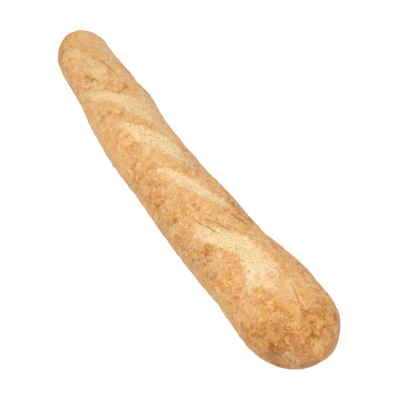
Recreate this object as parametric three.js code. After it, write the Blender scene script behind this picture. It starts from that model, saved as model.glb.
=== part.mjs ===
// A baguette: one baked loaf, 560 mm long, with a flat sole and five oblique scores.
//
// Frame, in millimetres: +Z up, +X along the loaf towards its fat end, and the origin
// on the sole at mid-length. The whole loaf is one closed body, because it was baked
// as one piece: there is nothing to take apart.

import * as THREE from 'three';

// ---- driving dimensions -------------------------------------------------------------

const LENGTH = 560;

// Half-width and sideways drift of the centre line at eight stations, 80 mm apart, from
// the thin end to the fat end. A hand-rolled loaf tapers and snakes a little.
const HALF_WIDTHS = [31, 34, 36.5, 37.5, 37, 38, 40, 40.5];
const DRIFTS = [7.5, 1, -1.5, -7, -5.5, -3.5, 3, 6];

const HEIGHT_TO_WIDTH = 0.66;
const GIRTH_LEVEL = 0.43; // height of the widest point, as a share of the loaf's height
const SOLE_CUT = 0.25; // how far past the tray the lower curve would run, as a share of its drop

// Powers that square off the section: 1 would be a plain ellipse.
const SIDE_POWER = 0.92;
const CROWN_POWER = 1.02;
const UNDERSIDE_POWER = 0.9;

// Rounded ends: how long each one is, and the power of its outline (2 is elliptic).
const THIN_END = { length: 50, power: 1.8 };
const FAT_END = { length: 45, power: 2.0 };
const END_HEIGHT_POWER = 0.85;
const TIP_LEVEL = 0.4; // height of the tips, as a share of the loaf's height

// Scores: baker's cuts that run obliquely over the crown, one after another.
const SCORE_COUNT = 5;
const SCORE_PITCH = 80;
const SCORE_LENGTH = 92;
const SCORE_ANGLE = 20; // degrees from the loaf's long axis
const SCORE_DEPTH = 1.6;
const SCORE_HALF_WIDTH = 7;
const LIP_RISE = 1.0; // the raised edge that the cut leaves along its +Y side
const LIP_OFFSET = 10;

// Mesh density.
const AROUND = 48;
const ALONG = 80;
const END_CROWDING = 12; // an even power that draws the rings together at both ends

// ---- the loaf's body ----------------------------------------------------------------

// Value at x on the smooth curve through evenly spaced stations (Catmull-Rom).
function alongLoaf(stations, x) {
  const last = stations.length - 1;
  const place = THREE.MathUtils.clamp((x / LENGTH + 0.5) * last, 0, last);
  const i = Math.min(Math.floor(place), last - 1);
  const t = place - i;
  const before = stations[Math.max(i - 1, 0)];
  const from = stations[i];
  const to = stations[i + 1];
  const after = stations[Math.min(i + 2, last)];
  const slope = to - before;
  const bend = 2 * before - 5 * from + 4 * to - after;
  const twist = 3 * (from - to) + after - before;
  return from + 0.5 * t * (slope + t * (bend + t * twist));
}

// Share of the full width that is left at a distance from one tip, 0 at the tip itself.
function endShare(distance, end) {
  const u = THREE.MathUtils.clamp(distance / end.length, 0, 1);
  return (1 - (1 - u) ** end.power) ** (1 / end.power);
}

// A power that keeps its sign, for squaring off a circle's sine and cosine.
function signedPower(value, power) {
  return Math.sign(value) * Math.abs(value) ** power;
}

// How far the crust is pushed in (negative) or out by the scores, at x along the loaf
// and across mm of crust from the crown line, positive towards +Y.
function scoreRelief(x, across) {
  const angle = THREE.MathUtils.degToRad(SCORE_ANGLE);
  let relief = 0;
  for (let i = 0; i < SCORE_COUNT; i += 1) {
    const centre = (i - (SCORE_COUNT - 1) / 2) * SCORE_PITCH;
    const lengthwise = (x - centre) * Math.cos(angle) + across * Math.sin(angle);
    const sideways = across * Math.cos(angle) - (x - centre) * Math.sin(angle);
    const fade = Math.max(0, 1 - (2 * lengthwise / SCORE_LENGTH) ** 2);
    const cut = Math.exp(-((sideways / SCORE_HALF_WIDTH) ** 2));
    const lip = Math.exp(-(((sideways - LIP_OFFSET) / SCORE_HALF_WIDTH) ** 2));
    relief += fade * (LIP_RISE * lip - SCORE_DEPTH * cut);
  }
  return relief;
}

// The point of the crust at x, where angle is 0 on the +Y side and a quarter turn on
// the crown.
function crustPoint(x, angle) {
  const share = endShare(LENGTH / 2 + x, THIN_END) * endShare(LENGTH / 2 - x, FAT_END);
  const heightShare = share ** END_HEIGHT_POWER;
  const halfWidth = alongLoaf(HALF_WIDTHS, x);
  const fullHeight = 2 * halfWidth * HEIGHT_TO_WIDTH;
  const rise = Math.sin(angle);
  const upper = (1 - GIRTH_LEVEL) * Math.abs(rise) ** CROWN_POWER;
  const dip = 1 + SOLE_CUT * heightShare; // the sole narrows away towards the tips
  const lower = -GIRTH_LEVEL * dip * Math.abs(rise) ** UNDERSIDE_POWER;
  const level = Math.max(0, GIRTH_LEVEL + (rise > 0 ? upper : lower));
  const across = (Math.PI / 2 - angle) * halfWidth;
  const relief = rise > 0 ? scoreRelief(x, across) * share : 0;
  const reach = halfWidth * share + relief;
  const y = alongLoaf(DRIFTS, x) + reach * signedPower(Math.cos(angle), SIDE_POWER);
  const liftedTip = TIP_LEVEL * fullHeight * (1 - heightShare);
  const z = liftedTip + fullHeight * heightShare * level + relief * Math.max(0, rise);
  return new THREE.Vector3(x, y, z);
}

// A unit sphere with its poles turned to the loaf's two tips, each of whose vertices is
// then moved to its own place on the crust.
function loafGeometry() {
  const geometry = new THREE.SphereGeometry(1, AROUND, ALONG);
  geometry.rotateZ(-Math.PI / 2);
  const vertices = geometry.getAttribute('position');
  const unit = new THREE.Vector3();
  for (let i = 0; i < vertices.count; i += 1) {
    unit.fromBufferAttribute(vertices, i);
    const poleAngle = Math.acos(THREE.MathUtils.clamp(unit.x, -1, 1));
    const t = 1 - (2 * poleAngle) / Math.PI;
    const spread = t * (1 + 1 / END_CROWDING) - (t ** (END_CROWDING + 1)) / END_CROWDING;
    const point = crustPoint((LENGTH / 2) * spread, Math.atan2(unit.z, unit.y));
    vertices.setXYZ(i, point.x, point.y, point.z);
  }
  geometry.computeVertexNormals();
  return geometry;
}

// ---- the part -----------------------------------------------------------------------

const crust = new THREE.MeshStandardMaterial({ color: 0xd9a566, roughness: 0.62, metalness: 0 });
const loaf = new THREE.Mesh(loafGeometry(), crust);
loaf.name = 'loaf';

const group = new THREE.Group();
group.add(loaf);

export default group;
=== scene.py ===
# A baguette lying on a white studio table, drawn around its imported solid. Metres, +Z up,
# +X along the loaf to its fat end, and the origin on the sole at mid-length.

import math

import bpy
import numpy as np
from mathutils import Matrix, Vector


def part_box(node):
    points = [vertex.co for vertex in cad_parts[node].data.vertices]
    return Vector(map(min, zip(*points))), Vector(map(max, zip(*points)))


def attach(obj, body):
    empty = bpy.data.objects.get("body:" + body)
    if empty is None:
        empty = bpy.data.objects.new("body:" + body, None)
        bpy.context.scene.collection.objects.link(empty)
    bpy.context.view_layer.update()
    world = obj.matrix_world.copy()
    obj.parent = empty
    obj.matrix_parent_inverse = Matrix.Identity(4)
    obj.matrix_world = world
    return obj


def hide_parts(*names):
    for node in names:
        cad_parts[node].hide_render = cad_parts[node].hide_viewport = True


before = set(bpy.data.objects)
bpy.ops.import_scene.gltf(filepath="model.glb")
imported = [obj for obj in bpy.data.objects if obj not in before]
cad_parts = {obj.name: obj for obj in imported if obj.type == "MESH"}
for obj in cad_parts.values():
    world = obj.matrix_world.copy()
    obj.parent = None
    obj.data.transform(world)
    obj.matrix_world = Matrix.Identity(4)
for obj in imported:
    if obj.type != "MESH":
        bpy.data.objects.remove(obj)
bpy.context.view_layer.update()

# ---- camera ---------------------------------------------------------------------------
# A studio camera on a boom, looking down over the loaf's fat end, so that the loaf runs
# away from it to the upper left.

CAMERA_AZIMUTH = math.radians(62.6)
CAMERA_ELEVATION = math.radians(42.5)
CAMERA_DISTANCE = 0.687
CAMERA_TARGET = Vector((0.078, 0.006, 0.025))
CAMERA_LENS = 64.8
CAMERA_SENSOR = 36.0
CAMERA_NEAR = 0.01

camera_back = Vector((
    math.sin(CAMERA_AZIMUTH) * math.cos(CAMERA_ELEVATION),
    -math.cos(CAMERA_AZIMUTH) * math.cos(CAMERA_ELEVATION),
    math.sin(CAMERA_ELEVATION),
))
camera_data = bpy.data.cameras.new("studio_camera")
camera_data.lens = CAMERA_LENS
camera_data.sensor_width = CAMERA_SENSOR
camera_data.clip_start = CAMERA_NEAR
camera = bpy.data.objects.new("studio_camera", camera_data)
camera.location = CAMERA_TARGET + CAMERA_DISTANCE * camera_back
camera.rotation_euler = (-camera_back).to_track_quat("-Z", "Y").to_euler()
bpy.context.scene.collection.objects.link(camera)
bpy.context.scene.camera = camera

# ---- the loaf's shape -----------------------------------------------------------------
# One hand-rolled loaf of wheat dough, baked on a flat tray. It tapers to its thin end,
# snakes a little, and is flat where it lay on the tray.

MM = 0.001  # a millimetre, in metres
loaf_low, loaf_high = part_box("loaf")
LENGTH = loaf_high[0] - loaf_low[0]

# Half-width and sideways drift of the centre line at eight evenly spaced stations.
HALF_WIDTHS = np.array([31, 34, 36.5, 37.5, 37, 38, 40, 40.5]) * MM
DRIFTS = np.array([7.5, 1, -1.5, -7, -5.5, -3.5, 3, 6]) * MM

HEIGHT_TO_WIDTH = 0.66
GIRTH_LEVEL = 0.43  # height of the widest point, as a share of the loaf's height
SOLE_CUT = 0.25  # how far past the tray the lower curve would run, as a share of its drop

# Powers that square off the section: 1 would be a plain ellipse.
SIDE_POWER = 0.92
CROWN_POWER = 1.02
UNDERSIDE_POWER = 0.9

# Rounded ends: how long each one is, and the power of its outline (2 is elliptic).
THIN_END_LENGTH = 0.050
THIN_END_POWER = 1.8
FAT_END_LENGTH = 0.045
FAT_END_POWER = 2.0
END_HEIGHT_POWER = 0.85
TIP_LEVEL = 0.4  # height of the tips, as a share of the loaf's height

RINGS = 556
AROUND = 178
END_CROWDING = 12  # an even power that draws the rings together at both ends
SOLE_THINNING = 0.3  # the columns of points stand wider apart under the loaf than on top
CROWN_RADIUS = 0.037  # turns an angle round the loaf into a distance from the crown line


def along_loaf(stations, x):
    """Value at x on the smooth curve through evenly spaced stations."""
    last = len(stations) - 1
    place = np.clip((x / LENGTH + 0.5) * last, 0, last)
    i = np.minimum(np.floor(place).astype(int), last - 1)
    t = place - i
    before = stations[np.maximum(i - 1, 0)]
    start = stations[i]
    end = stations[i + 1]
    after = stations[np.minimum(i + 2, last)]
    slope = end - before
    bend = 2 * before - 5 * start + 4 * end - after
    twist = 3 * (start - end) + after - before
    return start + 0.5 * t * (slope + t * (bend + t * twist))


def end_share(distance, length, power):
    """Share of the full width that is left at a distance from one tip."""
    u = np.clip(distance / length, 0, 1)
    return (1 - (1 - u) ** power) ** (1 / power)


def signed_power(value, power):
    """A power that keeps its sign, for squaring off a circle's sine and cosine."""
    return np.sign(value) * np.abs(value) ** power


def plain_loaf(x, angle):
    """Points of the smooth loaf: x along it, angle 0 on its +Y side and 90 deg on the crown."""
    share = end_share(LENGTH / 2 + x, THIN_END_LENGTH, THIN_END_POWER)
    share = share * end_share(LENGTH / 2 - x, FAT_END_LENGTH, FAT_END_POWER)
    height_share = share ** END_HEIGHT_POWER
    half_width = along_loaf(HALF_WIDTHS, x)
    full_height = 2 * half_width * HEIGHT_TO_WIDTH
    rise = np.sin(angle)
    upper = (1 - GIRTH_LEVEL) * np.abs(rise) ** CROWN_POWER
    dip = 1 + SOLE_CUT * height_share
    lower = -GIRTH_LEVEL * dip * np.abs(rise) ** UNDERSIDE_POWER
    level = np.maximum(0, GIRTH_LEVEL + np.where(rise > 0, upper, lower))
    y = along_loaf(DRIFTS, x) + half_width * share * signed_power(np.cos(angle), SIDE_POWER)
    z = TIP_LEVEL * full_height * (1 - height_share) + full_height * height_share * level
    return np.stack([x + 0 * angle, y, z], axis=-1)


# Rings of points round the loaf, closer together towards the tips.
even = np.linspace(-1, 1, RINGS + 2)[1:-1]
crowded = even * (1 + 1 / END_CROWDING) - even ** (END_CROWDING + 1) / END_CROWDING
ring_x = LENGTH / 2 * crowded
turn = np.linspace(0, 2 * math.pi, AROUND, endpoint=False)
X, ANGLE = np.meshgrid(ring_x, turn + SOLE_THINNING * np.sin(turn) - math.pi / 2, indexing="ij")
points = plain_loaf(X, ANGLE)

# Places on the crust are given in millimetres: x along the loaf, and across, the way
# round it from the crown line, positive towards +Y.
ALONG = X / MM
ACROSS = (math.pi / 2 - ANGLE) * CROWN_RADIUS / MM


def smooth_step(low, high, value):
    """0 at low, 1 at high and a smooth rise between them, or a fall where low is above high."""
    t = np.clip((value - low) / (high - low), 0, 1)
    return t * t * (3 - 2 * t)


def soft_noise(grain, seed, waves=32):
    """A smooth random field over the crust, mostly -1 to 1, with lumps a grain across."""
    rng = np.random.default_rng(seed)
    total = np.zeros(X.shape)
    for _ in range(waves):
        direction = rng.normal(size=3)
        direction *= math.pi / grain * rng.uniform(0.6, 1.5) / np.linalg.norm(direction)
        total += np.cos(points @ direction + rng.uniform(0, 2 * math.pi))
    return total / math.sqrt(2 * waves)


# Hand-rolled unevenness: swells and pinches at an x and an angle round the loaf, each
# with its rise, and its half-length along the loaf. All in millimetres and degrees.
SWELLS = [
    (-130, 25, -1.8, 18), (-88, 25, 2.0, 24), (0, 25, -1.1, 25), (92, 25, 1.1, 26),
    (152, 25, -1.4, 14), (206, 28, 1.8, 18), (-97, 195, 1.0, 20), (187, 198, -1.2, 14),
    (231, 198, 1.0, 18),
]
SWELL_HALF_ANGLE = 38

relief = np.zeros(X.shape)
for swell_x, swell_angle, swell_rise, swell_length in SWELLS:
    off = np.abs((np.degrees(ANGLE) - swell_angle + 180) % 360 - 180)
    far_along = ((ALONG - swell_x) / swell_length) ** 2
    far_round = (off / SWELL_HALF_ANGLE) ** 2
    relief += MM * swell_rise * np.exp(-far_along - far_round)

# Lumps all over it: their rise and their size in metres, a seed, and the waves they are made of.
LUMPS = [(0.0006, 0.035, 1, 32), (0.0003, 0.012, 2, 32), (0.0001, 0.0045, 3, 80)]
for lump_rise, lump_size, seed, waves in LUMPS:
    relief += lump_rise * soft_noise(lump_size, seed, waves)

# ---- the scores -----------------------------------------------------------------------
# Five oblique cuts made with a blade before baking. Each opened in the oven into a pale
# band of stretched dough, with a low lip of crust along its +Y edge.

LIP_AWAY = 1.8  # the lip's distance from the cut's edge, in millimetres
LIP_HALF_WIDTH = 2.0

# For each cut, places along it: x, the across of its two edges, and how pale the dough
# between them stayed there; then how deep the cut lies and how far its lip rises.
SCORES = [
    ([(-226, -28, -24, 0.2), (-212, -28, -17, 0.55), (-200, -25, -12, 0.5), (-190, -22, -8, 0.35),
      (-178, -20, -5, 0.35), (-165, -17, -2, 0.45), (-150, -15, 0, 0.65), (-138, -14, -1, 0.6),
      (-126, -8, -4, 0.25)],
     0.7, 0.7),
    ([(-123, -37, -30, 0.3), (-115, -34, -26, 0.5), (-108, -31, -18, 0.6), (-100, -25, -9, 0.65),
      (-90, -18, -4, 0.75), (-82, -13, 4, 0.7), (-72, -8, 8, 0.7), (-64, -4, 12, 0.7),
      (-55, 0, 15, 0.75), (-47, 2, 13, 0.65), (-36, 4, 9, 0.35)],
     0.8, 0.7),
    ([(-44, -17, -14, 0.5), (-38, -20, -11, 0.9), (-30, -16, -5, 0.8), (-20, -13, 2, 0.85),
      (-12, -14, 6, 0.8), (-4, -12, 9, 0.75), (4, -5, 13, 0.85), (12, -1, 16, 1.0),
      (22, 0, 16, 1.0), (32, 3, 16, 0.8), (43, 9, 14, 0.5)],
     0.9, 0.7),
    ([(39, -15, -13, 0.6), (46, -16, -8, 0.8), (54, -12, -2, 0.95), (62, -10, 1, 1.1),
      (72, -6, 4, 1.15), (82, -3, 6, 1.2), (92, -1, 9, 1.1), (102, 2, 12, 1.0), (110, 6, 16, 1.0),
      (118, 10, 16, 0.8), (125, 13, 15, 0.3)],
     1.3, 0.9),
    ([(123, -18, -16, 0.3), (130, -24, -12, 0.65), (138, -26, -7, 0.75), (146, -22, -3, 0.8),
      (156, -17, 1, 0.9), (165, -13, 5, 1.0), (176, -10, 6, 1.0), (188, -12, 5, 1.05),
      (200, -15, 4.5, 1.05), (210, -22, 4.5, 0.7), (217, -14, 4, 0.55), (226, -8, 5, 0.4),
      (238, -6, 3, 0.3), (250, -7, 1, 0.2)],
     1.2, 0.9),
]

# The dough tore a little as it opened, so every edge wanders.
wander_x = ALONG + 1.3 * soft_noise(0.010, 4) + 0.8 * soft_noise(0.005, 5)
wander_across = ACROSS + 1.3 * soft_noise(0.009, 6) + 0.8 * soft_noise(0.0045, 7)

opened = np.zeros(X.shape)
paleness = np.zeros(X.shape)
for places, depth, lip_rise in SCORES:
    at, low, high, pale = np.array(places).T
    low_edge = np.interp(wander_x, at, low)
    high_edge = np.interp(wander_x, at, high)
    from_ends = np.minimum(wander_x - at[0], at[-1] - wander_x)
    from_high = high_edge - wander_across
    inward = np.minimum(np.minimum((wander_across - low_edge) / 2, from_high), from_ends / 2)

    # A cut is deepest beside its lip, and shallow where it is narrow or runs out.
    fullness = smooth_step(0, 9, high_edge - low_edge) * smooth_step(-2, 8, from_ends)
    sunk = smooth_step(-2.5, 2.5, inward) * (0.4 + 0.6 * smooth_step(9, 0, from_high))
    lip = np.exp(-((from_high + LIP_AWAY) / LIP_HALF_WIDTH) ** 2)
    relief += MM * fullness * (lip_rise * lip - depth * sunk)
    near = smooth_step(-5, -2, inward)
    paleness = np.maximum(paleness, near * np.interp(wander_x, at, pale))
    opened = np.maximum(opened, np.clip(0.5 + inward / 8, 0, 1))


def to_line(line, px, pa):
    """How places lie to a line of points: distance, signed towards +Y, and share along it."""
    best = np.full(px.shape, 1e9)
    side = np.ones(px.shape)
    share = np.zeros(px.shape)
    last = len(line) - 1
    for i in range(last):
        x0, a0 = line[i]
        dx, da = line[i + 1][0] - x0, line[i + 1][1] - a0
        step = np.clip(((px - x0) * dx + (pa - a0) * da) / (dx ** 2 + da ** 2), 0, 1)
        away = np.hypot(px - x0 - step * dx, pa - a0 - step * da)
        closer = away < best
        best = np.where(closer, away, best)
        side = np.where(closer, np.sign((pa - a0) * dx - (px - x0) * da), side)
        share = np.where(closer, (i + step) / last, share)
    return best, side, share


# ---- creases --------------------------------------------------------------------------
# Thin folds in the crust itself, where it wrinkled or was pulled over the edge of a cut
# as the loaf rose. The crust stands up a little along the +Y side of each.

# Places (x, across), then half-width and depth in millimetres, and how dark the painted
# shade in the fold is.
CREASES = [
    ([(114, -17.5), (120, -16.8), (127, -15), (133, -12), (138, -10.5), (143, -9), (152, -6)],
     0.7, 0.8, 1.0),
    ([(120, -11), (127, -8), (133, -5), (139, -2), (146, -1.2), (154, -0.5)], 0.7, 0.5, 0.65),
    ([(178, 5.8), (192, 5), (206, 4.6), (220, 4.4)], 0.6, 0.4, 0.35),
    ([(220, 4.4), (228, 5.5), (235, 3.5), (243, 1.5), (251, 0.5)], 0.7, 0.6, 0.6),
    ([(251, 0.5), (255, 3), (260, 7.5)], 0.8, 0.5, 0.7),
    ([(209, -36), (213, -32), (216, -28), (219, -21)], 1.0, 0.5, 0.5),
    ([(220, -40), (227, -36)], 0.9, 0.4, 0.5),
    ([(137, -42), (132, -49), (128, -56)], 0.7, 0.4, 0.4),
    ([(131, 12), (138, 14.5), (142, 16.5)], 1.1, 0.8, 0.9),
    ([(37, -15), (43, -17.5)], 0.8, 0.4, 0.6),
    ([(47, -18), (58, -19)], 0.7, 0.3, 0.35),
    ([(104, -9.5), (113, -9)], 0.8, 0.4, 0.6),
    ([(58, 18), (64, 15.5), (71, 12)], 0.8, 0.5, 0.5),
    ([(-37, -7), (-31, -9.5)], 0.8, 0.4, 0.6),
    ([(-116, -0.5), (-109, -3)], 0.7, 0.4, 0.4),
    ([(-97, 1.5), (-92, 0), (-87, -3)], 0.8, 0.5, 0.6),
    ([(-129, -29.5), (-122, -26)], 1.0, 0.5, 0.8),
    ([(-143, -2), (-130, -3)], 0.7, 0.3, 0.4),
    ([(-174, 3), (-160, 5), (-152, 7.5), (-143, 8)], 1.3, 0.9, 0.6),
    ([(-187, -4.5), (-180, -7)], 0.8, 0.4, 0.5),
    ([(-197, -8), (-191, -8.5)], 0.9, 0.4, 0.6),
    ([(-184, -13), (-178, -14.5)], 0.9, 0.4, 0.5),
    ([(-64, 46), (-48, 50), (-34, 50)], 0.9, 0.5, 0.5),
    ([(148, 56), (162, 51), (176, 52)], 0.9, 0.5, 0.5),
]

FOLD_REACH = 5.0  # folds are marked out to this many half-widths
FOLD_SLOPE = 0.5  # how much wider the groove is than the dark line in it, in millimetres
RIDGE_RISE = 0.3
RIDGE_AWAY = 2.4
RIDGE_HALF_WIDTH = 1.4

fold_away = np.full(X.shape, FOLD_REACH)  # signed, so that it runs straight through the fold
fold_shade_strength = np.zeros(X.shape)
fold_x = ALONG + 0.4 * soft_noise(0.006, 8)
fold_across = ACROSS + 0.4 * soft_noise(0.006, 9)
for line, half_width, depth, dark in CREASES:
    away, side, share = to_line(line, fold_x, fold_across)
    taper = np.clip(6 * share * (1 - share), 0, 1)
    relief -= MM * depth * taper * np.exp(-(away / (half_width + FOLD_SLOPE)) ** 2)
    ridge = np.exp(-((side * away - RIDGE_AWAY) / RIDGE_HALF_WIDTH) ** 2)
    relief += MM * RIDGE_RISE * taper * ridge
    steps_away = np.minimum(away / (half_width * np.maximum(taper, 0.3)), FOLD_REACH)
    nearer = steps_away < np.abs(fold_away)
    fold_shade_strength = np.where(nearer, dark * taper ** 0.4, fold_shade_strength)
    fold_away = np.where(nearer, side * steps_away, fold_away)

# ---- blisters -------------------------------------------------------------------------
# Small bubbles of steam that lifted the crust while it was still soft. They are spread
# at random, and most are small: about 1 mm in radius, and up to 2.5 mm.

BLISTERS = 1500
BLISTER_END = 272  # how far they reach along the loaf and round it, in millimetres
BLISTER_SIDE = 75
BLISTER_REACH = 3  # a blister is shaped out to this many radii
blister_rng = np.random.default_rng(11)
for _ in range(BLISTERS):
    blister_x = blister_rng.uniform(-BLISTER_END, BLISTER_END)
    blister_across = blister_rng.uniform(-BLISTER_SIDE, BLISTER_SIDE)
    radius = 1.0 + 1.5 * blister_rng.random() ** 3
    height = radius * blister_rng.uniform(0.10, 0.26)
    reach = BLISTER_REACH * radius
    rows = slice(*np.searchsorted(ALONG[:, 0], [blister_x - reach, blister_x + reach]))
    cols = np.abs(ACROSS[0] - blister_across) < reach
    away = np.hypot(ALONG[rows, cols] - blister_x, ACROSS[rows, cols] - blister_across)
    relief[rows, cols] += MM * height * np.exp(-(away / radius) ** 2)

# ---- colour of the bake, with painted shade and light ---------------------------------
# How brown each place is, from 0 for barely coloured to 1 for well browned, with painted
# shade and painted light laid in, where it reddened, and where flour from the proving
# cloth still clings, with painted sheen among it.

# Soft strokes from one place (x, across) to another, each with its half-width in
# millimetres and its strength. The first list darkens the crust, and lightens it where a
# strength is negative: partly its own tone, partly painted shade and painted light.
TONED_LIGHT_AND_SHADE = [
    (-262, -50, -228, -56, 11, 0.24), (-268, 12, -264, -30, 10, 0.12),
    (-172, -62, -132, -62, 9, 0.20), (188, -52, 236, -56, 9, 0.10),
    (250, -50, 262, -58, 10, 0.10), (30, -52, 120, -55, 7, 0.06),
    (-250, -22, -236, -44, 12, 0.14), (-240, 3, -215, 6, 8, -0.08), (-140, 2, -115, 4, 6, -0.10),
    (-65, 17, 0, 19, 9, -0.30), (8, -6, 38, -6, 7, -0.14), (42, -26, 66, -28, 7, 0.14),
    (72, -9, 95, -9, 6, -0.12), (105, -1, 122, 4, 5, -0.12), (160, -26, 185, -30, 8, 0.06),
    (222, 12, 248, 14, 7, -0.10), (260, 10, 267, -12, 9, 0.10),
]
# Browned spots; the stroke along a fold from (210, -34) to (217, -26) is painted shade.
BROWNED_AND_SHADED = [
    (-250, -24, -226, -18, 6, 0.20), (-214, -8, -204, -3, 4, 0.12),
    (-236, -34, -226, -33, 5, 0.30), (-222, -42, -216, -50, 6, 0.30),
    (-196, -49, -189, -42, 3.5, 0.22), (-205, -46, -185, -46, 6, 0.12),
    (-168, -50, -150, -43, 5, 0.22), (-183, 21, -168, 13, 2, 0.30),
    (-172, 3, -148, 7, 2.5, 0.28), (-137, 9, -137, 8, 2, 0.25), (-148, -21, -136, -18, 4, 0.22),
    (-144, -36, -128, -31, 4, 0.26), (-140, -25, -126, -16, 7, 0.14),
    (-118, -9, -108, -10, 3, 0.22), (-117, -2, -103, -6, 3.5, 0.22),
    (-118, 17, -117, 17, 3, 0.20), (-108, 8, -98, 9, 2.8, 0.25), (-98, 7, -92, -1, 2.6, 0.30),
    (-98, -4, -92, -5, 2.2, 0.30), (-80, -15, -70, -13, 5, 0.10), (-71, -27, -70, -33, 2, 0.20),
    (-55, -9, -50, -12, 4, 0.14), (-80, -25, -45, -18, 7, 0.08), (-56, 15, -52, 17, 2, 0.25),
    (-25, 11, -20, 8, 3, 0.30), (-40, -46, -39, -50, 4, 0.22), (-47, -53, -46, -53, 4, 0.18),
    (0, -16, 10, -30, 8, 0.17), (-32, 30, -27, 26, 2.5, 0.40), (-5, -52, -4, -52, 6, 0.10),
    (14, -8, 19, -8, 2.0, 0.16), (24, -14, 36, -17, 2.5, 0.07), (30, -36, 38, -52, 8, 0.20),
    (42, -48, 48, -50, 4, 0.26), (42, 6, 47, 2, 3, 0.08), (58, 3, 70, 4, 1.8, 0.20),
    (46, 25, 53, 21, 3, 0.42), (68, 28, 71, 24, 2.5, 0.25), (62, -16, 70, -20, 5, 0.16),
    (76, -25, 81, -27, 3, 0.22), (79, -33, 81, -44, 3.5, 0.26), (83, -7, 84, -7, 3.0, 0.12),
    (62, -40, 66, -43, 2.5, 0.20), (30, -22, 60, -23, 5, 0.12), (90, 22, 92, 14, 2.5, 0.20),
    (100, 30, 110, 22, 4, 0.14), (112, 28, 122, 20, 4, 0.25), (124, 26, 134, 20, 4, 0.28),
    (139, 27, 143, 16, 3.5, 0.34), (131, 13, 140, 14.5, 2, 0.40), (126, 14, 126, 7, 3, 0.22),
    (105, -9, 114, -8, 2, 0.32), (106, -4, 112, -3, 4, 0.08), (85, -12, 100, -14, 5, 0.06),
    (104, -34, 110, -32, 3.5, 0.28), (124, -35, 130, -38, 2.5, 0.22),
    (147, -31, 152, -29, 6, 0.08), (150, -36, 156, -50, 5, 0.14), (160, -30, 160, -36, 4, 0.10),
    (163, -30, 172, -44, 6, 0.11), (170, -16, 180, -15, 3.5, 0.10),
    (150, -33, 166, -38, 8, 0.08), (188, -37, 193, -41, 3.2, 0.30), (197, 11, 214, 8, 4, 0.14),
    (205, 26, 216, 20, 4, 0.26), (180, 20, 200, 16, 6, 0.14), (210, -34, 217, -26, 2, 0.22),
    (226, -16, 238, -21, 6, 0.20), (204, -12, 210, -10, 3, 0.15), (250, 1, 259, -3, 3, 0.22),
    (261, 4, 262, 3, 3, 0.26), (262, -10, 258, -24, 5, 0.14), (256, -28, 262, -44, 6, 0.14),
    (270, 8, 272, -5, 4, 0.18), (-238, 42, -205, 50, 7, 0.15), (-182, 40, -152, 46, 6, 0.14),
    (-140, 56, -118, 48, 5, 0.18), (-98, 42, -62, 50, 8, 0.13), (-40, 56, -12, 46, 6, 0.17),
    (12, 44, 42, 52, 8, 0.14), (62, 54, 86, 44, 6, 0.18), (106, 46, 140, 56, 8, 0.15),
    (166, 44, 192, 52, 6, 0.17), (215, 52, 246, 40, 7, 0.18),
]
REDDENED = [
    (-221, -42, -216, -48, 5, 0.9), (-148, -21, -137, -18, 4, 0.7), (-101, 8, -94, 2, 3.0, 1.0),
    (-124, -6, -114, -5, 4, 0.4), (-57, -6, -48, -4, 5, 0.4), (16, -11, 36, -17, 2.5, 0.4),
    (62, -16, 70, -20, 5, 0.5), (81, -7, 84, -6, 3, 0.8), (80, -12, 96, -14, 6, 0.35),
    (126, 13, 126, 8, 3, 0.6), (112, 28, 134, 20, 4, 0.4), (188, -37, 193, -41, 3, 1.0),
    (107, -33, 111, -33, 2.5, 0.5), (258, -1, 262, 4, 2.5, 0.7), (170, -22, 175, -24, 2, 0.5),
    (42, -49, 46, -49, 3, 0.4),
]
# Flour, with a painted highlight along a ridge from (-235, 3) to (-226, 0), and painted sheen along
# the +Y limb in the long strokes at across 20 to 24.
FLOUR_AND_SHEEN = [
    (-172, -34, -165, -28, 4, 0.40), (-218, -13, -212, -12, 4, 0.25),
    (-228, 24, -226, 22, 5, 0.25), (-235, 3, -226, 0, 1, 0.45), (-124, -6, -114, -5, 4, 0.30),
    (-107, -24, -101, -24, 2.7, 0.67), (-112, -42, -110, -34, 2.5, 0.30),
    (-84, 20, -74, 22, 6, 0.28), (-62, 20, -24, 14, 6, 0.20), (-38, 12, -31, 11, 4, 0.38),
    (-18, 15, 0, 20, 5, 0.30), (-14, 9, -4, 8, 3.4, 0.37), (9, 0, 9, -14, 2, 0.44),
    (18, -3, 24, -3.5, 2, 0.52), (0, -34, 1, -34, 4, 0.30), (36, -20, 37, -31, 1.9, 0.36),
    (42, 17, 48, 13, 2, 0.40), (30, 4, 36, 8, 2.5, 0.35), (43, -12, 51, -11, 4.1, 0.37),
    (53, 15, 66, 8, 3.4, 0.41), (62, -15, 67, -11, 2.4, 0.38), (74, -31, 75, -31, 2.7, 0.48),
    (81, 9, 87, 12, 3, 0.40), (89, 8, 97, 9, 3, 0.40), (86, -43, 87, -36, 1.9, 0.38),
    (90, -34, 97, -38, 4.1, 0.37), (111, -31, 115, -31, 2.7, 0.41),
    (133, -28, 134, -27, 3.2, 0.48), (129, -18, 138, -22, 4, 0.30), (142, 3, 145, 3, 3, 0.30),
    (158, 8, 163, 6, 3.4, 0.41), (160, -19, 168, -22, 3.4, 0.48),
    (170, -24, 177, -26, 2.7, 0.41), (176, -30, 177, -33, 2.4, 0.41),
    (183, -35, 184, -35, 2, 0.37), (188, -54, 190, -54, 4, 0.40), (193, 2, 207, 2, 2.2, 0.41),
    (203, -16, 216, -24, 4.1, 0.41), (234, 0, 238, 0, 4, 0.30), (224, -31, 227, -36, 1.6, 0.45),
    (249, -16, 256, -19, 6.8, 0.37), (252, 2, 259, 7, 2, 0.37), (265, 13, 266, 6, 3.4, 0.37),
    (266, -3, 266, -4, 2.5, 0.45), (270, -38, 271, -44, 2.7, 0.48), (273, -4, 274, -10, 2, 0.37),
    (-100, 22, 60, 24, 7, 0.14), (-210, 20, -180, 22, 8, 0.20), (-202, 58, -188, 64, 4, 0.36),
    (-74, 40, -62, 44, 4, 0.34), (26, 58, 40, 64, 5, 0.34), (116, 42, 128, 46, 4, 0.34),
    (204, 60, 218, 56, 4, 0.36),
]


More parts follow.
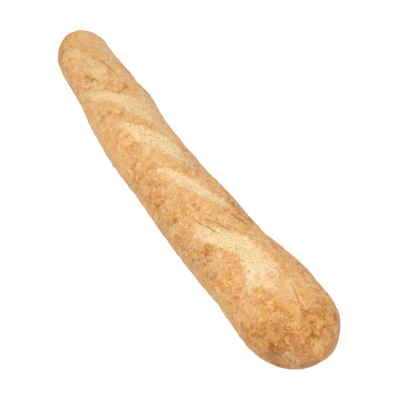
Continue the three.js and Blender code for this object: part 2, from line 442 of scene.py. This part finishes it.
def stroked(strokes):
    """The strokes' strength at each place of the crust."""
    total = np.zeros(X.shape)
    for x0, a0, x1, a1, half_width, strength in strokes:
        away = to_line([(x0, a0), (x1, a1)], wander_x, wander_across)[0]
        total += strength * np.exp(-(away / half_width) ** 2)
    return total


# The crown is palest, with painted light along it, and the flanks, their low edges and the
# fat end are browner: partly the bake, partly painted shade where the loaf turns away from
# the light and curves under.
browning_and_shade = 0.415 + 0.10 * smooth_step(10, 42, np.abs(ACROSS + 4))
browning_and_shade += 0.12 * smooth_step(42, 62, np.abs(ACROSS))
browning_and_shade -= 0.04 * np.exp(-((ACROSS + 6) / 9) ** 2)
browning_and_shade += 0.13 * smooth_step(236, 264, ALONG)
browning_and_shade += 0.03 * soft_noise(0.016, 10)

# Broad tones: how much browner, or paler where it is negative, then the x and the across
# at which the tone sets in and at which it is full. The browner ones, at the fat end and low
# on the thin end's -Y flank, are partly the bake and partly painted shade; the paler ones,
# on the +Y side, are painted light.
BROAD_TONE_LIGHT_AND_SHADE = [
    (0.08, (205, 240), (6, -14)),
    (0.11, (240, 262), (-8, -28)),
    (0.14, (-150, -200), (-35, -52)),
    (-0.12, (-140, -170), (0, 18)),
    (-0.09, (10, -10), (12, 22)),
]
for tone, (x_start, x_full), (across_start, across_full) in BROAD_TONE_LIGHT_AND_SHADE:
    broad = smooth_step(x_start, x_full, ALONG) * smooth_step(across_start, across_full, ACROSS)
    browning_and_shade += tone * broad

# The -Y flank is browner in the middle of the fat half: painted shade there, where the soft
# box lights it most.
middle = smooth_step(0, 40, ALONG) * smooth_step(200, 160, ALONG)
browning_and_shade += 0.13 * middle * smooth_step(-20, -36, ACROSS)
browning_and_shade += stroked(TONED_LIGHT_AND_SHADE)

# The fat end is more mottled than the rest.
mottling = 0.45 + 0.12 * smooth_step(232, 262, ALONG)
scorched_and_shaded = stroked(BROWNED_AND_SHADED)
reddened = stroked(REDDENED)
flour_and_sheen = stroked(FLOUR_AND_SHEEN)

# Fine wrinkles ring the flanks, away from the tips and the sole.
wrinkly = smooth_step(245, 215, np.abs(ALONG)) * smooth_step(95, 75, np.abs(ACROSS))
wrinkly *= 0.25 + 0.75 * smooth_step(4, 26, np.abs(ACROSS + 3))

# Low on both flanks, where the heat was least, the crust is straw-coloured.
low_flank = smooth_step(42, 56, np.abs(ACROSS))
low_flank *= 1 - 0.45 * smooth_step(225, 262, np.abs(ALONG))

# Towards the thin end the crust puckered lengthwise.
puckered = smooth_step(-120, -150, ALONG) * smooth_step(-250, -225, ALONG)
puckered *= np.exp(-((ACROSS + 8) / 20) ** 2)

# ---- the sole and the whole surface ---------------------------------------------------
# The sole was pressed flat by the tray, so nothing stands out of it, and it browned
# evenly. The rest of the crust is pushed out or in by all the relief above.

SOLE_EDGE = 0.003  # how far above the tray the sole rounds off
sole = smooth_step(SOLE_EDGE, 0.0, points[..., 2]) * (np.sin(ANGLE) < 0)
relief *= 1 - sole


def outward(points):
    """Outward direction of the crust at each place."""
    lengthwise = np.gradient(points, axis=0)
    crosswise = np.roll(points, -1, axis=1) - np.roll(points, 1, axis=1)
    normals = np.cross(crosswise, lengthwise)
    return normals / (np.linalg.norm(normals, axis=2, keepdims=True) + 1e-12)


shaped = points + outward(points) * relief[..., None]
shaped[..., 2] = np.maximum(shaped[..., 2], 0)


def make_loaf(points, marks):
    """A closed mesh of rings of points, with one more point at each tip, carrying its marks."""
    rings, around, _ = points.shape
    tips = np.array([points[0].mean(axis=0), points[-1].mean(axis=0)])
    tips[:, 0] = (-LENGTH / 2, LENGTH / 2)
    verts = np.concatenate([points.reshape(-1, 3), tips])
    corner = np.arange(rings * around).reshape(rings, around)
    beside = np.roll(corner, -1, axis=1)
    sides = np.stack([corner[:-1], beside[:-1], beside[1:], corner[1:]], axis=-1).reshape(-1, 4)
    faces = sides.tolist()
    faces += [(rings * around, b, a) for a, b in zip(corner[0].tolist(), beside[0].tolist())]
    faces += [(rings * around + 1, a, b) for a, b in zip(corner[-1].tolist(), beside[-1].tolist())]
    mesh = bpy.data.meshes.new("loaf_crust")
    mesh.from_pydata(verts.tolist(), [], faces)
    for name, mark in marks.items():
        values = np.concatenate([mark.ravel(), [mark[0].mean(), mark[-1].mean()]]).astype(np.float32)
        mesh.attributes.new(name, "FLOAT", "POINT").data.foreach_set("value", values)
    mesh.shade_smooth()
    return mesh


loaf_mesh = make_loaf(shaped, {
    "opened": opened,
    "paleness": paleness,
    "fold_away": fold_away,
    "fold_shade_strength": fold_shade_strength,
    "browning_and_shade": browning_and_shade,
    "scorched_and_shaded": scorched_and_shaded,
    "mottling": mottling,
    "reddened": reddened,
    "flour_and_sheen": flour_and_sheen,
    "sole": sole,
    "wrinkly": wrinkly,
    "puckered": puckered,
    "low_flank": low_flank,
    "along": ALONG * MM,
    "around": ACROSS * MM,
})
loaf = bpy.data.objects.new("loaf_crust", loaf_mesh)
bpy.context.scene.collection.objects.link(loaf)
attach(loaf, "root")
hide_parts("loaf")

# ---- the crust's finish ---------------------------------------------------------------
# Dry baked crust: golden where it stretched, browner where the oven caught it, pale and
# pinholed inside the cuts, with flour left on top.


def shade_of(red, green, blue):
    """A colour given as it looks on a screen, 0 to 255, turned into light."""
    return tuple(((c / 255 + 0.055) / 1.055) ** 2.4 for c in (red, green, blue)) + (1,)


crust = bpy.data.materials.new("baked_crust")
crust.use_nodes = True
tree = crust.node_tree
shader = tree.nodes["Principled BSDF"]


def feed(socket, value):
    """A link from another node's output, or a plain value."""
    if isinstance(value, bpy.types.NodeSocket):
        tree.links.new(value, socket)
    else:
        socket.default_value = value


def add_node(kind, inputs, **settings):
    node = tree.nodes.new(kind)
    for name, value in settings.items():
        setattr(node, name, value)
    for name, value in inputs.items():
        feed(node.inputs[name], value)
    return node


def mark(name):
    """One of the marks that the loaf's mesh carries."""
    return add_node("ShaderNodeAttribute", {}, attribute_name=name).outputs["Fac"]


def do_math(operation, a, b=0.0, c=0.0):
    return add_node("ShaderNodeMath", {0: a, 1: b, 2: c}, operation=operation).outputs[0]


def remap(value, low, high, to_low=0.0, to_high=1.0):
    """A smooth step from to_low to to_high as the value goes from low to high."""
    ends = {"From Min": low, "From Max": high, "To Min": to_low, "To Max": to_high}
    node = add_node("ShaderNodeMapRange", {"Value": value, **ends}, interpolation_type="SMOOTHSTEP")
    return node.outputs["Result"]


def sway(value, unevenness, amount):
    """value moved up and down by an amount, as an unevenness goes from 0 to 1."""
    return do_math("MULTIPLY_ADD", do_math("SUBTRACT", unevenness, 0.5), amount, value)


def blend_colours(share, under, over):
    node = add_node("ShaderNodeMix", {"Factor": share, 6: under, 7: over}, data_type="RGBA")
    return node.outputs[2]


def coat(under, mask, share, shade):
    """A share of a shade laid over the colour under it, wherever the mask is."""
    return blend_colours(do_math("MULTIPLY", mask, share), under, shade)


coords = add_node("ShaderNodeTexCoord", {}).outputs["Object"]


def noise(size, detail=2.0, rough=0.5, seed=0.0, place=coords):
    """A noise whose lumps are about size metres across."""
    inputs = {"Vector": place, "Scale": 1 / size, "Detail": detail, "Roughness": rough, "W": seed}
    return add_node("ShaderNodeTexNoise", inputs, noise_dimensions="4D").outputs["Fac"]


def cells(size, seed, place, feature="F1"):
    """Irregular cells about size metres across."""
    inputs = {"Vector": place, "Scale": 1 / size, "W": seed}
    return add_node("ShaderNodeTexVoronoi", inputs, voronoi_dimensions="4D", feature=feature)


def one_each(cell_node, channel):
    """A value of its own for each cell."""
    split = add_node("ShaderNodeSeparateColor", {"Color": cell_node.outputs["Color"]})
    return split.outputs[channel]


# Cells are pushed out of shape, so that none has straight sides.
BEND_SIZE = 0.004
bent = add_node("ShaderNodeTexNoise", {"Vector": coords, "Scale": 1 / BEND_SIZE, "Detail": 2.0})
centred = {0: bent.outputs["Color"], 1: (0.5, 0.5, 0.5)}
bend = add_node("ShaderNodeVectorMath", centred, operation="SUBTRACT").outputs[0]


def pushed(place, amount):
    """Coordinates, each pushed about by up to half an amount in metres."""
    inputs = {0: bend, 1: (amount, amount, amount), 2: place}
    return add_node("ShaderNodeVectorMath", inputs, operation="MULTIPLY_ADD").outputs[0]


patchy = noise(0.022, detail=3.0, rough=0.55, seed=1.0)
mottled = noise(0.0060, detail=3.0, rough=0.6, seed=2.0)
grainy = noise(0.0024, detail=3.0, rough=0.65, seed=3.0)
fine = noise(0.0011, detail=2.0, rough=0.6, seed=4.0)

# The skin crackled into small scales as it cooled, each with its own shade.
jagged = pushed(coords, 0.006)
coarse_scales = one_each(cells(0.0055, 3.0, jagged), "Green")
small_scales = one_each(cells(0.0026, 4.0, jagged), "Green")

# How brown each place is, with its painted shade and light, made uneven at every size from
# large patches down to grains.
bake_and_shade = sway(mark("browning_and_shade"), patchy, 0.53)
bake_and_shade = sway(bake_and_shade, mottled, mark("mottling"))
for unevenness, amount in ((grainy, 0.42), (coarse_scales, 0.28), (small_scales, 0.24)):
    bake_and_shade = sway(bake_and_shade, unevenness, amount)
bake_and_shade = do_math("MULTIPLY_ADD", mark("sole"), 0.20, bake_and_shade)
# Scorched spots, with painted shade along one fold.
scorch_and_shade = sway(sway(mark("scorched_and_shaded"), grainy, 0.45), small_scales, 0.12)
bake_and_shade = do_math("MULTIPLY_ADD", remap(scorch_and_shade, 0.07, 0.40), 0.33, bake_and_shade)

# The shades that crust passes through as it bakes, from barely coloured to scorched.
BAKE_SHADES = [
    (0.28, shade_of(239, 191, 124)), (0.46, shade_of(231, 170, 97)),
    (0.62, shade_of(218, 150, 72)), (0.80, shade_of(188, 119, 46)),
]
ramp = add_node("ShaderNodeValToRGB", {"Fac": bake_and_shade})
stops = ramp.color_ramp.elements
stops[0].color = shade_of(244, 207, 154)
stops[1].color = shade_of(160, 92, 32)
for position, shade in BAKE_SHADES:
    stops.new(position).color = shade
colour = ramp.outputs["Color"]

# A rosy or a straw-coloured cast, and the places that reddened.
rosy = sway(noise(0.015, detail=3.0, rough=0.6, seed=5.0), coarse_scales, 0.12)
colour = coat(colour, remap(rosy, 0.48, 0.60), 0.40, shade_of(240, 178, 130))
straw = sway(noise(0.011, detail=3.0, rough=0.6, seed=14.0), coarse_scales, 0.10)
straw = do_math("MULTIPLY", remap(straw, 0.52, 0.62), 0.46)
straw = do_math("MULTIPLY_ADD", mark("low_flank"), 0.45, straw)
colour = blend_colours(straw, colour, shade_of(222, 182, 114))
reddish = do_math("MAXIMUM", sway(mark("reddened"), coarse_scales, 0.5), 0.0)
colour = coat(colour, reddish, 0.40, shade_of(216, 128, 70))

# Pale crumb inside the cuts, with a torn edge.
torn = sway(sway(sway(mark("opened"), mottled, 0.5), grainy, 0.5), coarse_scales, 0.20)
patch = sway(mark("paleness"), noise(0.008, detail=3.0, rough=0.6, seed=6.0), 1.3)
patch = sway(patch, small_scales, 0.3)
pale = do_math("MULTIPLY", remap(torn, 0.33, 0.69), remap(patch, 0.02, 1.10))
cream = remap(grainy, 0.35, 0.65)
crumb = blend_colours(cream, shade_of(240, 204, 145), shade_of(252, 231, 184))
colour = blend_colours(pale, colour, crumb)


def wrapped(stretch):
    """Coordinates along and round the crust. A stretch over 1 lays shapes across the loaf."""
    lengthwise = do_math("MULTIPLY", mark("along"), stretch)
    node = add_node("ShaderNodeCombineXYZ", {"X": lengthwise, "Y": mark("around")})
    return node.outputs["Vector"]


# Fine wrinkles ring the flanks, paler than the skin between them.
wrinkled = noise(0.010, seed=7.0, place=wrapped(6.0))
streaks = do_math("MULTIPLY", remap(wrinkled, 0.56, 0.63), mark("wrinkly"))
colour = coat(colour, streaks, 0.44, shade_of(248, 210, 164))

# Brown puckers run lengthwise near the thin end.
puckers = remap(noise(0.0042, seed=15.0, place=wrapped(0.4)), 0.55, 0.66)
puckers = do_math("MULTIPLY", puckers, mark("puckered"))
colour = coat(colour, puckers, 0.32, shade_of(190, 128, 66))

# A net of pale cracks, broken up into patches.
net_cells = cells(0.0055, 5.0, pushed(wrapped(2.3), 0.004), feature="DISTANCE_TO_EDGE")
net = remap(net_cells.outputs["Distance"], 0.11, 0.02)
net = do_math("MULTIPLY", net, remap(noise(0.011, seed=11.0), 0.44, 0.58))
net = do_math("MULTIPLY", net, mark("wrinkly"))
colour = coat(colour, net, 0.56, shade_of(250, 216, 170))

# Flecks where the crust caught or stayed light, and specks of scorched flour.
brown_flecks = remap(noise(0.0032, detail=3.0, rough=0.6, seed=8.0), 0.60, 0.65)
light_flecks = remap(noise(0.0026, detail=3.0, rough=0.6, seed=9.0), 0.61, 0.65)
specks = remap(noise(0.0014, detail=1.0, seed=12.0), 0.64, 0.70)
specks = do_math("MULTIPLY", specks, remap(noise(0.013, seed=13.0), 0.46, 0.58, 0.15, 1.0))
colour = coat(colour, brown_flecks, 0.58, shade_of(198, 116, 44))
colour = coat(colour, light_flecks, 0.56, shade_of(253, 218, 166))
colour = coat(colour, specks, 0.64, shade_of(176, 96, 24))

# Pinholes: one round hole in some of the cells, with painted shade inside each, and they
# show most in the pale crumb.
PINHOLE_CELL = 0.0034
PINHOLE_RADIUS = 0.0011
PINHOLES_KEPT = 0.38
hole_cells = cells(PINHOLE_CELL, 2.0, pushed(coords, 0.003))
hole = PINHOLE_RADIUS / PINHOLE_CELL
holes = remap(hole_cells.outputs["Distance"], hole, 0.4 * hole)
kept = remap(one_each(hole_cells, "Red"), PINHOLES_KEPT, PINHOLES_KEPT + 0.05, 1.0, 0.0)
pinholes_and_shade = do_math("MULTIPLY", holes, kept)
plainness = do_math("MULTIPLY_ADD", pale, 0.58, 0.15)
colour = coat(colour, pinholes_and_shade, plainness, shade_of(150, 104, 48))

# Painted shade inside the folds, where the crust creases in.
fold_distance = do_math("ABSOLUTE", mark("fold_away"))
fold_shade = do_math("MULTIPLY", remap(fold_distance, 1.4, 0.2), mark("fold_shade_strength"))
colour = coat(colour, fold_shade, 0.65, shade_of(150, 88, 28))

# Flour, broken up into grains, with a painted highlight and painted sheen among it.
dust_and_sheen = remap(sway(sway(mark("flour_and_sheen"), grainy, 1.2), fine, 1.8), 0.36, 0.72)
colour = coat(colour, dust_and_sheen, 0.64, shade_of(250, 228, 200))
tree.links.new(colour, shader.inputs["Base Color"])

# Dry crust scatters most of the light, and flour scatters more.
rough = do_math("MULTIPLY_ADD", dust_and_sheen, 0.2, sway(0.55, mottled, 0.3))
tree.links.new(rough, shader.inputs["Roughness"])
shader.inputs["Specular IOR Level"].default_value = 0.25

# Every grain, scale, hole and wrinkle also stands out or in, by its share of GRAIN_RISE.
GRAIN_RISE = 0.0020
RISES = [
    (mottled, 0.6), (grainy, 1.0), (fine, 0.4), (small_scales, 0.06), (pinholes_and_shade, -0.3),
    (specks, -0.12), (net, 0.15), (streaks, 0.2), (puckers, -0.25),
]
height = 0.0
for feature, rise in RISES:
    height = do_math("MULTIPLY_ADD", feature, rise, height)
bump = add_node("ShaderNodeBump", {"Height": height, "Strength": 1.0, "Distance": GRAIN_RISE})
tree.links.new(bump.outputs["Normal"], shader.inputs["Normal"])
loaf_mesh.materials.append(crust)

# ---- table and light ------------------------------------------------------------------
# A white table that glows a little, like a light table, with low white walls far off. A
# white room lights it evenly, and a soft box hangs above the -Y side of the fat half.

TABLE_REACH = 12.0
WALL_HEIGHT = 2.0
TABLE_WHITE = (0.12, 0.12, 0.12, 1)
TABLE_GLOW = 0.95
WHITE = (1, 1, 1, 1)

corners = [(-TABLE_REACH, -TABLE_REACH), (TABLE_REACH, -TABLE_REACH),
           (TABLE_REACH, TABLE_REACH), (-TABLE_REACH, TABLE_REACH)]
table_points = [(x, y, z) for z in (0, WALL_HEIGHT) for x, y in corners]
walls = [(i, (i + 1) % 4, (i + 1) % 4 + 4, i + 4) for i in range(4)]
table_mesh = bpy.data.meshes.new("white_table")
table_mesh.from_pydata(table_points, [], [(0, 1, 2, 3)] + walls)
table = bpy.data.objects.new("white_table", table_mesh)
bpy.context.scene.collection.objects.link(table)
table_finish = bpy.data.materials.new("white_table")
table_finish.use_nodes = True
table_shader = table_finish.node_tree.nodes["Principled BSDF"]
table_shader.inputs["Base Color"].default_value = TABLE_WHITE
table_shader.inputs["Emission Color"].default_value = WHITE
table_shader.inputs["Emission Strength"].default_value = TABLE_GLOW
table_shader.inputs["Roughness"].default_value = 0.9
table_mesh.materials.append(table_finish)

ROOM_STRENGTH = 0.55
room = bpy.data.worlds.new("white_room")
room.use_nodes = True
room_light = room.node_tree.nodes["Background"]
room_light.inputs["Color"].default_value = WHITE
room_light.inputs["Strength"].default_value = ROOM_STRENGTH
bpy.context.scene.world = room

SOFT_BOX_SIZE = 0.5
SOFT_BOX_POWER = 12.1
SOFT_BOX_PLACE = (0.25, -0.42, 1.35)
soft_box_data = bpy.data.lights.new("soft_box", "AREA")
soft_box_data.size = SOFT_BOX_SIZE
soft_box_data.energy = SOFT_BOX_POWER
soft_box = bpy.data.objects.new("soft_box", soft_box_data)
soft_box.location = SOFT_BOX_PLACE
soft_box.rotation_euler = (-soft_box.location).to_track_quat("-Z", "Y").to_euler()
bpy.context.scene.collection.objects.link(soft_box)

bpy.context.scene.view_settings.view_transform = "Standard"
